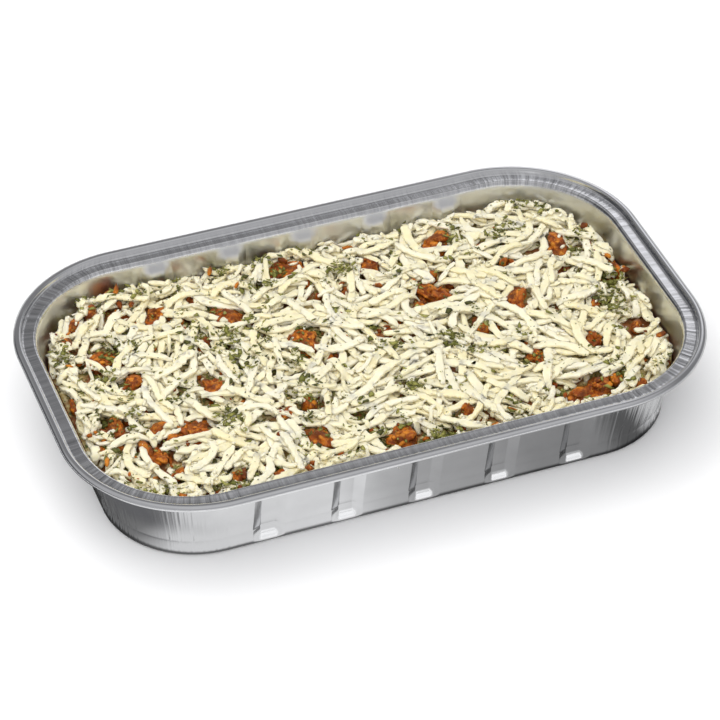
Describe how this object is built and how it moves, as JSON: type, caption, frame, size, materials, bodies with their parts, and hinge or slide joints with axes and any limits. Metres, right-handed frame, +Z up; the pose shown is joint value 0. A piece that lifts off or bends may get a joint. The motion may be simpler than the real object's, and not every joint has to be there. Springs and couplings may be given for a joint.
{
  "type": "foil tray meal",
  "caption": "Oblong rolled-rim foil tray with pressed flutes, filled with meat in sauce under a heap of grated cheese, dried herb and lumps of meat.",
  "frame": {"origin": "centre of the tray's base, on the surface that it stands on", "axes": "+X along the tray's long side, +Y across it, +Z up out of the tray's mouth"},
  "size_m": [0.23, 0.1414, 0.0335],
  "materials": {
    "foil": "bright rolled foil, finely wrinkled at the corners",
    "sauce": null,
    "meat": null,
    "cheese": null
  },
  "bodies": {
    "root": {"tray": "foil", "filling": "sauce", "cheese_topping": "cheese", "meat_lump_01": "meat", "meat_lump_02": "meat", "meat_lump_03": "meat", "meat_lump_04": "meat", "meat_lump_05": "meat", "meat_lump_06": "meat", "meat_lump_07": "meat", "meat_lump_08": "meat", "meat_lump_09": "meat", "meat_lump_10": "meat", "meat_lump_11": "meat", "meat_lump_12": "meat", "meat_lump_13": "meat", "meat_lump_14": "meat", "meat_lump_15": "meat", "meat_lump_16": "meat", "meat_lump_17": "meat", "meat_lump_18": "meat", "meat_lump_19": "meat", "meat_lump_20": "meat"}
  },
  "joints": []
}
